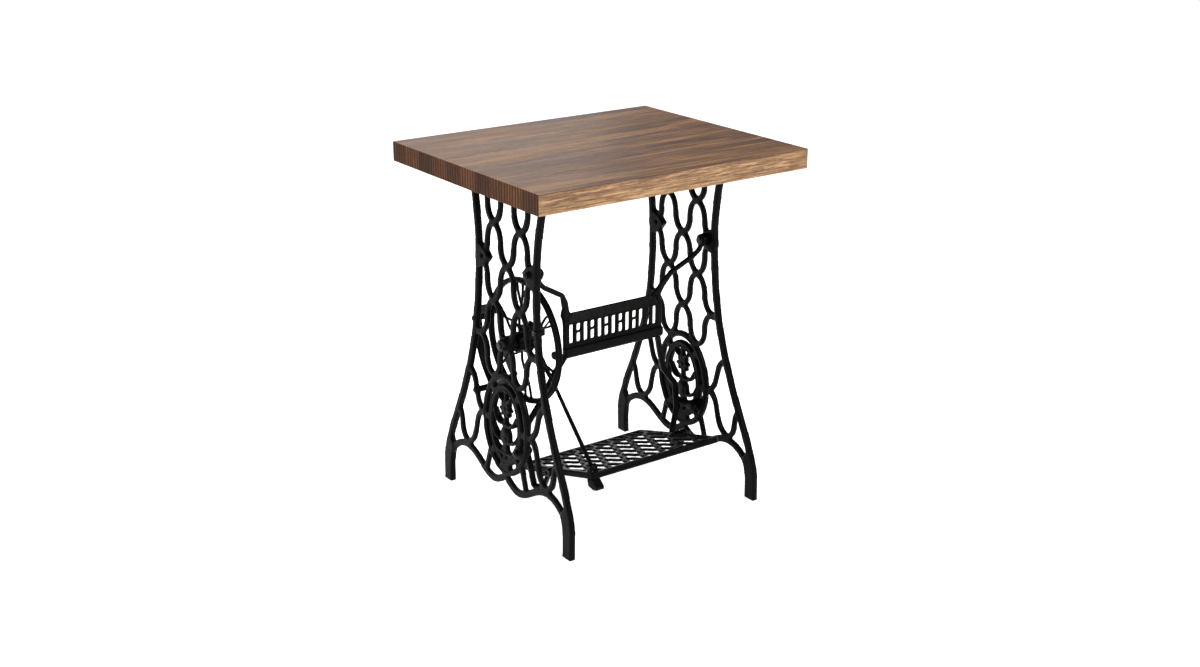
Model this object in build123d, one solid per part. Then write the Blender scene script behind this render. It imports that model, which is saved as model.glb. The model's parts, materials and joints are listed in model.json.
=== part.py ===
"""Treadle sewing-machine base with a thick wooden top.

Millimetres.  Origin on the floor under the middle of the base, +Z up, +Y to the
rear, -Y to the operator, +X to the side that carries the band wheel.
"""
import math
import os

from build123d import *

# ---- driving dimensions ---------------------------------------------------
TOP_WIDTH = 635.0
TOP_DEPTH = 533.0
TOP_THICK = 40.0
BASE_HEIGHT = 710.0

FRAME_X = 233.5            # mid-plane of each end frame at the floor
FRAME_LEAN = 1.54          # degrees, both frames lean inward toward the top
FRAME_THICK = 12.0         # outer bars and feet, along X
LATTICE_THICK = 8.5
RING_THICK = 10.0
LATTICE_BAR = 11.2
OUTER_BAR = 12.5
FOOT_OUTER = 243.0
FOOT_INNER = 213.0

NODE_BASE = 375.0          # height of the lattice row that carries the wheel stud
ROW_PITCH = 80.0
COLUMN_PITCH = 48.5
NODE_RISE = 2.6            # half the gap between the arch above and the one below
LUG_Z = 540.0
LUG_Y = 84.0
LUG_THICK = 13.0
EAR_Y = 112.0              # screw ears under the wooden top
EAR_INSET = 24.0           # from the frame's mid-plane to the screws
EAR_SEAT = 5.0             # depth of the screw seats below the wooden top
TOP_RAIL_HALF = 122.0
LOWER_LUG_Y = 50.0
LOWER_LUG_Z = 160.0
BOLT_R = 4.0
BOLT_PLAY = 0.3
WASHER_R = 8.5
WASHER_THICK = 1.5

MEDAL_Z = 203.0
RING_RY, RING_RZ, RING_BAND = 78.0, 102.0, 12.5
INNER_RY, INNER_RZ, INNER_BAND = 54.0, 79.0, 16.0
ROSETTE_RISE = 34.0        # rosette above the medallion's middle
LEAVES = (                 # root, bend, tip (y, z about the middle) and width
    ((4, 2), (26, 4), (40, 26), 7.5),
    ((4, 50), (16, 56), (24, 66), 7.0),
    ((12, -36), (32, -30), (47, -12), 7.0),
    ((6, -60), (24, -58), (34, -52), 7.0))

WHEEL_Z = NODE_BASE
WHEEL_X = 182.5
WHEEL_R = 129.5
RIM_DEPTH = 10.5
RIM_WIDTH = 12.5
HUB_R = 20.0
WEB_X = 163.0              # inner face of the hub and crank web
HUB_X1 = 205.0
SPOKES = 6
SPOKE_START = 96.0         # degrees from +Y of the first spoke, at rest
SPOKE_BAR, SPOKE_THICK = 4.2, 5.0
SPOKE_CROSSING = 74.0      # radius at which the two bars of a spoke cross
SPOKE_SPREAD = 8.0         # half the distance between them at the hub
STUD_R = 7.0
CRANK_THROW = 30.0
CRANK_ANGLE = 160.0        # degrees from +Y toward +Z, at rest
CRANK_PIN_R = 5.0
HEAD_X0, HEAD_X1 = 149.0, 157.5    # pitman bearing head, along X
HEAD_R = 13.0
BUSH_WALL = 3.0
CAP_SCREW_Y, CAP_SCREW_R = 15.5, 1.8

TREADLE_Y = 72.0
TREADLE_Z = 110.0
TREADLE_TILT = 16.0        # degrees, rear edge up, at rest
TREADLE_HALF_X = 160.0
TREADLE_HALF_L = 139.0
RIM_LOW, RIM_TOP = -7.5, 4.1       # rim of the plate, from the pivot line
WORK_LOW, WORK_TOP = -0.5, 3.5     # openwork of the plate
TREADLE_BAR = 7.2
TREADLE_JOG = 1.6          # half the gap between an arch and the cup above it
TREADLE_PITCH_X = 22.5
TREADLE_PITCH_L = 44.0
PIVOT_X0, PIVOT_X1 = 166.0, 177.0  # hanger bosses that hold the pivot screws
JOINT_ALONG = 131.0        # treadle pivot to the pitman joint, along the plate
JOINT_ABOVE = 15.5
JOINT_X = 153.0
JOINT_BOLT_SHIFT = 3.0     # clevis bolt, from the joint toward the pivot
JOINT_BOLT_R = 3.0
JOINT_PIN_R = 3.0
PIVOT_R = 3.5

PANEL_Y = 52.0
PANEL_HALF = 122.0
ARM_WIDE, ARM_DEEP = 12.0, 8.0
UPPER_WIDE, UPPER_DEEP = 9.5, 7.5  # slimmer upper arms
PAD_THICK = 15.0           # bolting pads at the ends of the brace arms
FIN = ((102.5, -6), (124, -6), (126, 18), (139, 52), (131, 54), (118, 34), (111, 16),
       (106.5, 6), (102.5, 1.5))   # gusset under the upper arm, in its own sloping plane

GUARD_R = 175.0
GUARD_RAIL_R0, GUARD_RAIL_R1 = 134.0, 158.0
GUARD_WALL_X = 176.0       # the curved wall starts here and ends at GUARD_X1
GUARD_WALL = 3.0
GUARD_X0, GUARD_X1 = 146.0, 196.0
GUARD_A0, GUARD_A1 = 171.0, 232.0
GUARD_POSTS = (            # y and z of each post, and where it leaves the wall, degrees
    (-118.0, 398.0, 173.5),
    (-114.0, 243.0, 226.0))
GUARD_POST_R = 6.5
GUARD_BOSS_R = 7.0
GUARD_SCREW_R = 3.0
GUARD_HEAD_R, GUARD_HEAD = 4.4, 2.0

SHIFTER_X = 205.0
SHIFTER_Y, SHIFTER_Z = 91.5, 431.0
SHIFTER_FIX = 18.0         # from the lever's pin to the bracket's screw
SHIFTER_SCREW_R, SHIFTER_PIN_R = 2.5, 2.0
RUN = 0.05                 # running clearance of a shaft in its bore

os.makedirs("parts", exist_ok=True)


# ---- helpers --------------------------------------------------------------
def save(name, *shapes):
    solids = [s for shape in shapes for s in shape.solids()]
    export_step(Compound(children=solids), f"parts/{name}.step")


def plane_x(x):
    """Plane facing +X at a given x; its axes are +Y and +Z."""
    return Plane(origin=(x, 0, 0), x_dir=(0, 1, 0), z_dir=(1, 0, 0))


def slab(sketch, x0, x1):
    """Stand a flat sketch (x -> Y, y -> Z) up and thicken it from x0 to x1."""
    return extrude(plane_x((x0 + x1) / 2) * sketch, (x1 - x0) / 2, both=True)


def rod(x0, x1, radius, y=0.0, z=0.0):
    """Round bar along X."""
    return slab(Pos(y, z) * Circle(radius), x0, x1)


def hexagon(x0, x1, across, y=0.0, z=0.0):
    """Hexagonal nut or bolt head along X."""
    return slab(Pos(y, z) * RegularPolygon(across / 2, 6, major_radius=False), x0, x1)


def band(line, width):
    """Flat band of a given width along a line."""
    return trace(line, line_width=width)


def smooth(*points, start=None, end=None):
    """Spline through a few points, with optional end directions."""
    if start is None:
        return Spline(*points)
    return Spline(*points, tangents=(start, end))


def joined(pieces):
    whole = pieces[0]
    return whole + pieces[1:]


def both(pieces):
    """The pieces and their mirror images across the middle."""
    return pieces + [mirror(p, Plane.YZ) for p in pieces]


def lean(shape, side):
    """Tilt an upright frame that stands at x = 0 and move it to its side."""
    return Pos(side * FRAME_X, 0, 0) * (Rot(0, -side * FRAME_LEAN, 0) * shape)


def swept_bar(points, radius, wide, deep, twist=0.0):
    """Flat bar along a path of straight runs and round bends."""
    path = FilletPolyline(*points, radius=radius)
    start = Plane(origin=path @ 0, z_dir=path % 0)
    section = start * (Rot(0, 0, twist) * Rectangle(wide, deep))
    return sweep(section, path=path)


def oval(y, z, half, rise, start, finish):
    """Arc of an upright ellipse between two angles."""
    return EllipticalCenterArc((y, z), half, rise, start, arc_size=finish - start)


def wave(y, z, half, rise, bar, cup=True, arch=True):
    """The cup above a lattice node and the arch below it."""
    made = []
    if cup:
        line = oval(y, z + NODE_RISE + rise, half, rise, 180, 360)
        made.append(band(line, bar))
    if arch:
        line = oval(y, z - NODE_RISE - rise, half, rise, 0, 180)
        made.append(band(line, bar))
    return made


# ---- end frames -----------------------------------------------------------
def outer_bar():
    """One side bar of the frame, from the foot to the underside of the top."""
    line = smooth(
        (229, 60), (222, 103), (187, 183), (152, 264), (125.6, 345),
        (107, 466), (104.6, 520), (109.5, 607), (121, 667), (127, 713),
        start=(-0.05, 1), end=(0.08, 1))
    outside = Spline((222, 121), (232.5, 97), (240, 70), (FOOT_OUTER, 38),
                     tangents=((0.4, -1), (0, -1)))
    inside = Spline((FOOT_INNER, 38), (211.5, 58), (205, 82), tangents=((0, 1), (-0.4, 1)))
    foot = make_face([
        outside,
        Line((FOOT_OUTER, 38), (FOOT_OUTER, -2)),
        Line((FOOT_OUTER, -2), (FOOT_INNER, -2)),
        Line((FOOT_INNER, -2), (FOOT_INNER, 38)),
        inside,
        Line((205, 82), (222, 121))])
    return [band(line, OUTER_BAR), foot]


def lattice():
    """Openwork of crossing wavy bars above the medallion."""
    half = COLUMN_PITCH / 2
    rise = ROW_PITCH / 2 - NODE_RISE
    made = []
    for row, columns in ((0, (0,)), (1, (-1, 1)), (2, (0,)), (3, (-1, 1)), (4, (0,))):
        z = NODE_BASE + row * ROW_PITCH
        for column in columns:
            y = column * COLUMN_PITCH
            made += wave(y, z, half, rise, LATTICE_BAR, cup=row < 4)
    for column in (-1, 1):
        z = NODE_BASE - ROW_PITCH
        made += wave(column * COLUMN_PITCH, z, half, rise, LATTICE_BAR, arch=False)
    edge = []
    reach = 2 * COLUMN_PITCH
    for row in (0, 2, 4):
        z = NODE_BASE + row * ROW_PITCH
        arch = oval(reach, z - NODE_RISE - rise, half, rise, 90, 180)
        edge.append(band(arch, LATTICE_BAR))
        if row < 4:
            cup = oval(reach, z + NODE_RISE + rise, half, rise, 180, 270)
            edge.append(band(cup, LATTICE_BAR))
        edge.append(Pos(reach + 8, z) * Rectangle(19, 2 * NODE_RISE + LATTICE_BAR))
    top = Pos(0, BASE_HEIGHT - 4.5) * Rectangle(2 * TOP_RAIL_HALF, 11)
    return made + both(edge) + [top]


def lower_work():
    """Side loops, lower rail and the links that carry the medallion."""
    shoulder = smooth((139, 284), (120, 262), (111, 232), (86, 203))
    loop = smooth((84, 205), (107, 188), (117, 155), (131, 126), (150, 117),
                  (166, 128), (173, 152), (184, 182))
    rail = smooth((214, 74), (188, 98), (150, 108), (104, 93), (66, 74),
                  (42, 71), (18, 80), (-4, 93))
    link = Line((60, 128), (75, 82))
    half = [band(shoulder, LATTICE_BAR), band(loop, LATTICE_BAR),
            band(rail, LATTICE_BAR + 3), band(link, LATTICE_BAR)]
    return both(half)


def ring(ry, rz, width):
    outer = Ellipse(ry + width / 2, rz + width / 2)
    inner = Ellipse(ry - width / 2, rz - width / 2)
    return Pos(0, MEDAL_Z) * (outer - inner)


def urn():
    """Plain footed urn under the rosette, on a stem that runs the height of the oval."""
    parts = [
        (0, Rectangle(8, 2 * INNER_RZ - 4)),
        (-24, Ellipse(17, 21)),
        (2, Ellipse(14, 4.5)),
        (-50, Ellipse(9, 7)),
        (-60, Ellipse(18, 6))]
    return [Pos(0, MEDAL_Z + z) * shape for z, shape in parts]


def medallion():
    """Two oval rings, the bridges between them and a leaf-and-rosette filling."""
    made = [ring(RING_RY, RING_RZ, RING_BAND), ring(INNER_RY, INNER_RZ, INNER_BAND)]
    for angle in (0, 48, 132, 180, 228, 312):
        a = math.radians(angle)
        inside = (INNER_RY * math.cos(a), MEDAL_Z + INNER_RZ * math.sin(a))
        outside = (RING_RY * math.cos(a), MEDAL_Z + RING_RZ * math.sin(a))
        made.append(band(Line(inside, outside), 14))
    made.append(Pos(0, MEDAL_Z - 94) * Rectangle(34, 22))
    made += urn()
    made += [Pos(0, MEDAL_Z + ROSETTE_RISE) * Circle(10)]
    for k in range(8):
        petal = Rot(0, 0, 45 * k) * (Pos(13, 0) * Ellipse(7, 4.6))
        made.append(Pos(0, MEDAL_Z + ROSETTE_RISE) * petal)
    leaves = []
    for root, bend, tip, width in LEAVES:
        points = [(y, MEDAL_Z + z) for y, z in (root, bend, tip)]
        leaves.append(band(smooth(*points), width))
    return made + both(leaves)


def bolt_lugs():
    """Pointed bosses against the outer bars that take the brace bolts."""
    lug = Polygon((106, 512), (106, 564), (94, 562), (75, 553), (61, 540),
                  (74, 526), (92, 514), align=None)
    return both([lug])


def end_frame(side):
    """One casting, upright at x = 0, then leaned and trimmed flat top and bottom."""
    half = FRAME_THICK / 2
    body = slab(joined(both(outer_bar())), -half, half)
    half = LATTICE_THICK / 2
    body += slab(joined(lattice() + lower_work()), -half, half)
    half = RING_THICK / 2
    body += slab(joined(medallion()), -half, half)
    half = LUG_THICK / 2
    body += slab(joined(bolt_lugs()), -half, half)
    body += rod(-half, half, 14, LOWER_LUG_Y, LOWER_LUG_Z)
    for y in (-EAR_Y, EAR_Y):
        body += Pos(-side * 16, y, BASE_HEIGHT - 3) * Box(38, 26, 8)
    for y, z in ((LUG_Y, LUG_Z), (-LUG_Y, LUG_Z), (LOWER_LUG_Y, LOWER_LUG_Z)):
        body -= rod(-20, 20, BOLT_R + BOLT_PLAY, y, z)
    if side > 0:
        body += rod(-14, 7, 17, 0, NODE_BASE)
        body -= rod(-30, 30, STUD_R + 0.9, 0, NODE_BASE)
        for y, z, _ in GUARD_POSTS:
            body += rod(-half, half, GUARD_BOSS_R, y, z)
            body -= rod(-20, 20, GUARD_SCREW_R + 0.6, y, z)
        body += rod(-half, half, 8, SHIFTER_Y + SHIFTER_FIX, SHIFTER_Z)
        body -= rod(-20, 20, SHIFTER_SCREW_R + 0.5, SHIFTER_Y + SHIFTER_FIX, SHIFTER_Z)
    room = Pos(side * FRAME_X, 0, BASE_HEIGHT / 2) * Box(200, 700, BASE_HEIGHT)
    body = lean(body, side) & room
    for y in (-EAR_Y, EAR_Y):
        x = side * (frame_x(BASE_HEIGHT) - EAR_INSET)
        body -= Pos(x, y, BASE_HEIGHT) * Cylinder(2.8, 30)
        body -= Pos(x, y, BASE_HEIGHT - EAR_SEAT - 10) * Cylinder(5.8, 20)
    return body


def frame_x(z):
    """Mid-plane of the wheel-side frame at a height."""
    return FRAME_X - z * math.tan(math.radians(FRAME_LEAN))


# ---- table top ------------------------------------------------------------
def table_top():
    top = Pos(0, 0, BASE_HEIGHT + TOP_THICK / 2) * Box(TOP_WIDTH, TOP_DEPTH, TOP_THICK)
    top = chamfer(top.edges(), 0.8)
    for screw in top_screws(core=True):
        top -= screw
    return top


def top_screws(core=False):
    made = []
    for side in (-1, 1):
        x = side * (frame_x(BASE_HEIGHT) - EAR_INSET)
        for y in (-EAR_Y, EAR_Y):
            foot = BASE_HEIGHT - EAR_SEAT
            shank = Pos(x, y, foot + 12) * Cylinder(2.4, 24)
            if not core:
                shank += Pos(x, y, foot - 1.8) * Cylinder(5, 3.6)
                shank -= Pos(x, y, foot - 3.2) * Box(1.2, 12, 1.6)
            made.append(shank)
    return made


# ---- cross brace ----------------------------------------------------------
def brace_panel():
    """Cast rail with a sloping top flange, an openwork band and a lower ledge."""
    profile = Polygon(
        (56, 362), (56, 411), (45, 430), (40, 426), (49, 409), (49, 366),
        (47, 342), (56, 338), (62, 345), (62, 359), align=None)
    panel = slab(profile, -PANEL_HALF, PANEL_HALF)
    cells = 13
    pitch = 2 * (PANEL_HALF - 9) / cells
    for k in range(cells):
        x = -PANEL_HALF + 9 + (k + 0.5) * pitch
        parts = ((388, 40),) if k % 2 == 0 else ((378.5, 20), (400, 16))
        for z, tall in parts:
            panel -= Pos(x, PANEL_Y, z) * Box(10.5, 20, tall)
    return panel


def brace_arms(side):
    """Upper arm to the bolt lug, lower arm that hooks round to the treadle pivot."""
    x_lug = frame_x(LUG_Z) - LUG_THICK / 2 - 6
    upper = swept_bar(
        [(side * 116, 49, 352), (side * 117, 50, 436), (side * 135, 68, 478),
         (side * 184, 77, 506), (side * (x_lug - 9), 81, 519), (side * x_lug, LUG_Y, LUG_Z)],
        6, UPPER_WIDE, UPPER_DEEP)
    fin_plane = Plane(origin=(0, 47, 430), x_dir=(1, 0, 0), z_dir=(0, -0.92, 0.4))
    fin = extrude(fin_plane * Polygon(*FIN, align=None), 3.5, both=True)
    if side < 0:
        fin = mirror(fin, Plane.YZ)
    lower = swept_bar(
        [(side * 112, 52, 352), (side * 136, 32, 296), (side * 155, 22, 248),
         (side * 188, 20, 206), (side * 194, 20, 150), (side * 183, 20, 96),
         (side * 180, 26, 62), (side * 176, 56, 74), (side * 173, TREADLE_Y, TREADLE_Z)],
        7, ARM_WIDE, ARM_DEEP)
    boss = rod(PIVOT_X0, PIVOT_X1, 9, TREADLE_Y, TREADLE_Z)
    if side < 0:
        boss = mirror(boss, Plane.YZ)
    return [upper, fin, lower, boss]


def brace_pads(side):
    """Round bolting pads, in the leaning plane of the frame."""
    faces = sorted((-side * LUG_THICK / 2, -side * (LUG_THICK / 2 + PAD_THICK)))
    pad = rod(*faces, 13, LUG_Y, LUG_Z)
    low = rod(*faces, 11, LOWER_LUG_Y, LOWER_LUG_Z)
    x_low = side * (frame_x(LOWER_LUG_Z) - LUG_THICK / 2 - 4)
    ear = swept_bar(
        [(side * 192, 20, 172), (side * 200, 30, 166), (x_low, LOWER_LUG_Y, LOWER_LUG_Z)],
        5, ARM_WIDE - 1, ARM_DEEP)
    return [lean(pad, side), lean(low, side), ear]


def cross_brace():
    body = brace_panel()
    for side in (-1, 1):
        for piece in brace_arms(side) + brace_pads(side):
            body += piece
        for y, z in ((LUG_Y, LUG_Z), (LOWER_LUG_Y, LOWER_LUG_Z)):
            body -= lean(rod(-40, 40, BOLT_R + BOLT_PLAY, y, z), side)
            under_head = -side * (LUG_THICK / 2 + PAD_THICK)
            reach = -side * (LUG_THICK / 2 + 34)
            body -= lean(rod(min(under_head, reach), max(under_head, reach), 9.2, y, z), side)
    body -= rod(-300, 300, PIVOT_R, TREADLE_Y, TREADLE_Z)
    for x in (-PIVOT_X1 - 30, PIVOT_X1):
        body -= rod(x, x + 30, 8.5, TREADLE_Y, TREADLE_Z)
    keep = lean(Pos(-LUG_THICK / 2 - 300, 0, 350) * Box(600, 900, 900), 1)
    return body & keep & mirror(keep, Plane.YZ)


def brace_fasteners():
    """Bolt, washer and nut at each of the four bolting pads."""
    bolts, washers, nuts = [], [], []
    for side in (-1, 1):
        for y, z, head in ((LUG_Y, LUG_Z, 8.5), (LOWER_LUG_Y, LOWER_LUG_Z, 7.5)):
            near = LUG_THICK / 2
            seat = -near - PAD_THICK
            bolt = rod(seat, near + 9, BOLT_R, y, z)
            cap = rod(seat - 5, seat, head, y, z)
            bolt += fillet(cap.faces().sort_by(Axis.X)[0].edges(), 2.5)
            outer = near + WASHER_THICK
            washer = rod(near, outer, WASHER_R, y, z) - rod(near, outer, BOLT_R, y, z)
            nut = hexagon(outer, outer + 5.5, 13, y, z) - rod(outer, outer + 5.5, BOLT_R, y, z)
            for pieces, piece in ((bolts, bolt), (washers, washer), (nuts, nut)):
                if side < 0:
                    piece = mirror(piece, Plane.YZ)
                pieces.append(lean(piece, side))
    return bolts, washers, nuts


# ---- band wheel and its stud ----------------------------------------------
def crank_point():
    a = math.radians(CRANK_ANGLE)
    return CRANK_THROW * math.cos(a), WHEEL_Z + CRANK_THROW * math.sin(a)


def spoke(angle):
    """Two thin bars that bow apart, cross half-way and bow apart again."""
    r0, r1, r2 = HUB_R - 3, SPOKE_CROSSING, WHEEL_R - RIM_DEPTH + 3
    line = smooth((r0, SPOKE_SPREAD), ((r0 + r1) / 2, SPOKE_SPREAD + 4), (r1, 0),
                  ((r1 + r2) / 2, -SPOKE_SPREAD), (r2, -SPOKE_SPREAD - 2))
    one = band(line, SPOKE_BAR)
    pair = [one, mirror(one, Plane.XZ)]
    return [Pos(0, WHEEL_Z) * (Rot(0, 0, angle) * p) for p in pair]


def band_wheel():
    half = RIM_WIDTH / 2
    inner = WHEEL_R - RIM_DEPTH
    profile = Polygon(
        (inner, -half + 2.5), (inner + 3, -half), (WHEEL_R - 1, -half), (WHEEL_R, -half + 1.5),
        (WHEEL_R - 0.5, -2.8), (WHEEL_R - 4, 0), (WHEEL_R - 0.5, 2.8), (WHEEL_R, half - 1.5),
        (WHEEL_R - 1, half), (inner + 3, half), (inner, half - 2.5), align=None)
    ring_plane = Plane(origin=(WHEEL_X, 0, WHEEL_Z), x_dir=(0, 1, 0), z_dir=(0, 0, 1))
    section = ring_plane * mirror(profile, Plane.XZ)
    axis = Axis((0, 0, WHEEL_Z), (1, 0, 0))
    wheel = revolve(section, axis, 360)
    spokes = []
    for k in range(SPOKES):
        spokes += spoke(SPOKE_START + k * 360 / SPOKES)
    wheel += slab(joined(spokes), WHEEL_X - SPOKE_THICK / 2, WHEEL_X + SPOKE_THICK / 2)
    wheel += rod(WEB_X, HUB_X1, HUB_R, 0, WHEEL_Z)
    wheel += rod(WHEEL_X - 9, WHEEL_X - 1, 26, 0, WHEEL_Z)
    py, pz = crank_point()
    web = joined([
        Pos(py, pz) * Circle(12),
        Pos(0, WHEEL_Z) * Circle(HUB_R),
        band(Line((0, WHEEL_Z), (py, pz)), 26)])
    wheel += slab(web, WEB_X, WEB_X + 9)
    wheel += rod(WHEEL_X - half, WHEEL_X + half, 8, inner - 6, WHEEL_Z + 2)
    wheel -= rod(WEB_X - 1, HUB_X1 + 1, STUD_R + 2, 0, WHEEL_Z)
    wheel -= rod(WEB_X - 1, WEB_X + 10, CRANK_PIN_R, py, pz)
    return wheel


def wheel_bush():
    bush = rod(WEB_X, HUB_X1, STUD_R + 2, 0, WHEEL_Z)
    return bush - rod(WEB_X - 1, HUB_X1 + 1, STUD_R + RUN, 0, WHEEL_Z)


def crank_pin():
    """Pin pressed in the crank web, its end flush just inside the bearing head."""
    py, pz = crank_point()
    return rod(HEAD_X1 + 0.5, WEB_X + 9, CRANK_PIN_R, py, pz)


def wheel_stud():
    """Fixed stud: a collar keeps the wheel on, the far end is screwed to the frame."""
    x_frame = frame_x(NODE_BASE)
    stud = rod(HEAD_X1 + 0.5, x_frame + 20, STUD_R, 0, WHEEL_Z)
    stud += rod(HEAD_X1 + 0.5, WEB_X - 0.4, 10.5, 0, WHEEL_Z)
    return stud


def stud_hardware():
    """Thrust washer between hub and frame, lock washer and lock nut outside."""
    x_frame = frame_x(NODE_BASE)
    bore = rod(150, 260, STUD_R, 0, WHEEL_Z)
    thrust = rod(HUB_X1 + 0.4, x_frame - 14.6, 12, 0, WHEEL_Z) - bore
    lock = rod(x_frame + 7.5, x_frame + 9, 12, 0, WHEEL_Z) - bore
    nut = hexagon(x_frame + 9, x_frame + 17, 21, 0, WHEEL_Z) - bore
    return thrust, lock, nut


# ---- dress guard ----------------------------------------------------------
def guard_sector(r0, r1, a0=GUARD_A0, a1=GUARD_A1):
    """Flat sector of a ring about the wheel axis."""
    def at(r, a):
        a = math.radians(a)
        return r * math.cos(a), WHEEL_Z + r * math.sin(a)
    mid = (a0 + a1) / 2
    outline = [
        ThreePointArc(at(r1, a0), at(r1, mid), at(r1, a1)),
        Line(at(r1, a1), at(r0, a1)),
        ThreePointArc(at(r0, a1), at(r0, mid), at(r0, a0)),
        Line(at(r0, a0), at(r1, a0))]
    return make_face(outline)


def dress_guard():
    """Curved shield on the operator's side of the wheel: an outer wall and an inner
    rail, joined by an end plate at the top and at the bottom, with two fixing posts."""
    wall = slab(guard_sector(GUARD_R - GUARD_WALL, GUARD_R), GUARD_WALL_X, GUARD_X1)
    rail = slab(guard_sector(GUARD_RAIL_R0, GUARD_RAIL_R1), GUARD_X0, GUARD_X0 + GUARD_WALL)
    body = wall + rail
    for a0, a1 in ((GUARD_A0, GUARD_A0 + 2), (GUARD_A1 - 2, GUARD_A1)):
        body += slab(guard_sector(GUARD_RAIL_R0, GUARD_R, a0, a1), GUARD_X0, GUARD_X1)
    for y, z, angle in GUARD_POSTS:
        x_end = frame_x(z) - LUG_THICK / 2 - 0.5
        radius = GUARD_R - GUARD_WALL
        y_wall = radius * math.cos(math.radians(angle))
        z_wall = WHEEL_Z + radius * math.sin(math.radians(angle))
        body += slab(band(Line((y_wall, z_wall), (y, z)), 16), GUARD_X1 - 3, GUARD_X1)
        body += rod(GUARD_X1 - 3, x_end, GUARD_POST_R, y, z)
        body -= rod(GUARD_X1 - 10, x_end + 1, GUARD_SCREW_R, y, z)
    return body


def guard_screws():
    made = []
    for y, z, _ in GUARD_POSTS:
        x = frame_x(z) + LUG_THICK / 2 + 0.4
        screw = rod(GUARD_X1 - 2, x, GUARD_SCREW_R, y, z)
        head = rod(x, x + GUARD_HEAD, GUARD_HEAD_R, y, z)
        head = fillet(head.faces().sort_by(Axis.X)[-1].edges(), 0.8)
        head -= Pos(x + GUARD_HEAD, y, z) * Box(1.8, 16, 1.2)
        made.append(screw + head)
    return made


# ---- treadle --------------------------------------------------------------
def treadle_pose(shape):
    """Flat treadle about its pivot line, tipped to its rest tilt and put in place."""
    return Pos(0, TREADLE_Y, TREADLE_Z) * (Rot(TREADLE_TILT, 0, 0) * shape)


def treadle_plate():
    """Openwork foot plate with a deep rim, in its own flat frame."""
    outer = RectangleRounded(2 * TREADLE_HALF_X, 2 * TREADLE_HALF_L, 7)
    inner = Rectangle(2 * TREADLE_HALF_X - 18, 2 * TREADLE_HALF_L - 20)
    rise = TREADLE_PITCH_L / 2 - TREADLE_JOG
    work = []
    for row in range(-3, 4):
        z = row * TREADLE_PITCH_L
        shift = 0 if row % 2 == 0 else TREADLE_PITCH_X
        for column in range(-4, 5):
            x = column * 2 * TREADLE_PITCH_X + shift
            if abs(x) <= TREADLE_HALF_X + 1:
                for line in treadle_wave(x, z, rise):
                    work.append(band(line, TREADLE_BAR))
    mesh_face = joined(work) & Rectangle(2 * TREADLE_HALF_X - 4, 2 * TREADLE_HALF_L - 4)
    plate = extrude(Plane.XY.offset(WORK_LOW) * mesh_face, WORK_TOP - WORK_LOW)
    plate += extrude(Plane.XY.offset(RIM_LOW) * (outer - inner), RIM_TOP - RIM_LOW)
    for side in (-1, 1):
        plate += Pos(side * 155, 0, -1) * (Rot(0, 90, 0) * Cylinder(10, 17))
        plate += Pos(side * 152, 0, -1) * Box(16, 60, 6)
    plate -= Rot(0, 90, 0) * Cylinder(PIVOT_R + RUN, 400)
    bolt_l = JOINT_ALONG - JOINT_BOLT_SHIFT
    pad = Pos(JOINT_X - 4, bolt_l) * Rectangle(22, 20)
    plate += extrude(Plane.XY.offset(RIM_LOW) * pad, RIM_TOP - RIM_LOW)
    plate -= Pos(JOINT_X, bolt_l, 0) * Cylinder(JOINT_BOLT_R, 60)
    return treadle_pose(plate)


def treadle_wave(x, y, rise):
    half = TREADLE_PITCH_X / 2
    cup = oval(x, y + TREADLE_JOG + rise, half, rise, 180, 360)
    arch = oval(x, y - TREADLE_JOG - rise, half, rise, 0, 180)
    return [cup, arch]


def joint_point():
    a = math.radians(TREADLE_TILT)
    y = TREADLE_Y + JOINT_ALONG * math.cos(a) - JOINT_ABOVE * math.sin(a)
    z = TREADLE_Z + JOINT_ALONG * math.sin(a) + JOINT_ABOVE * math.cos(a)
    return y, z


def pitman_bracket():
    """Clevis above the plate's rear corner, with a foot clamped under the rim."""
    bolt_l = JOINT_ALONG - JOINT_BOLT_SHIFT
    body = Pos(JOINT_X, bolt_l, RIM_TOP + 1.25) * Box(18, 18, 2.5)
    for x in (JOINT_X - 6.5, JOINT_X + 6.5):
        height = JOINT_ABOVE - RIM_TOP
        cheek = Pos(x, JOINT_ALONG, RIM_TOP + height / 2) * Box(4, 13, height)
        cheek += Pos(x, JOINT_ALONG, JOINT_ABOVE) * (Rot(0, 90, 0) * Cylinder(6.5, 4))
        body += cheek
    body -= Pos(JOINT_X, JOINT_ALONG, JOINT_ABOVE) * (Rot(0, 90, 0) * Cylinder(JOINT_PIN_R, 60))
    body -= Pos(JOINT_X, bolt_l, 0) * Cylinder(JOINT_BOLT_R, 30)
    return treadle_pose(body)


def bracket_foot():
    """Block under the corner that backs the clevis bolt and slants out past the rim."""
    bolt_l = JOINT_ALONG - JOINT_BOLT_SHIFT
    outline = [(-8.5, 0), (11, 0), (22, -17), (19, -22), (7, -22), (-8.5, -14)]
    points = [(bolt_l + along, RIM_LOW + up) for along, up in outline]
    body = slab(Polygon(*points, align=None), JOINT_X - 9, JOINT_X + 9)
    body -= Pos(JOINT_X, bolt_l, RIM_LOW) * Cylinder(JOINT_BOLT_R, 24)
    return treadle_pose(body)


def bracket_bolt():
    bolt_l = JOINT_ALONG - JOINT_BOLT_SHIFT
    top = RIM_TOP + 2.5
    low = RIM_LOW - 12
    bolt = Pos(JOINT_X, bolt_l, (top + low) / 2) * Cylinder(JOINT_BOLT_R, top - low)
    return treadle_pose(bolt)


def lower_pin():
    y, z = joint_point()
    pin = rod(JOINT_X - 9.5, JOINT_X + 9, JOINT_PIN_R, y, z)
    return pin + rod(JOINT_X + 8.5, JOINT_X + 11, 5, y, z)


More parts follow.
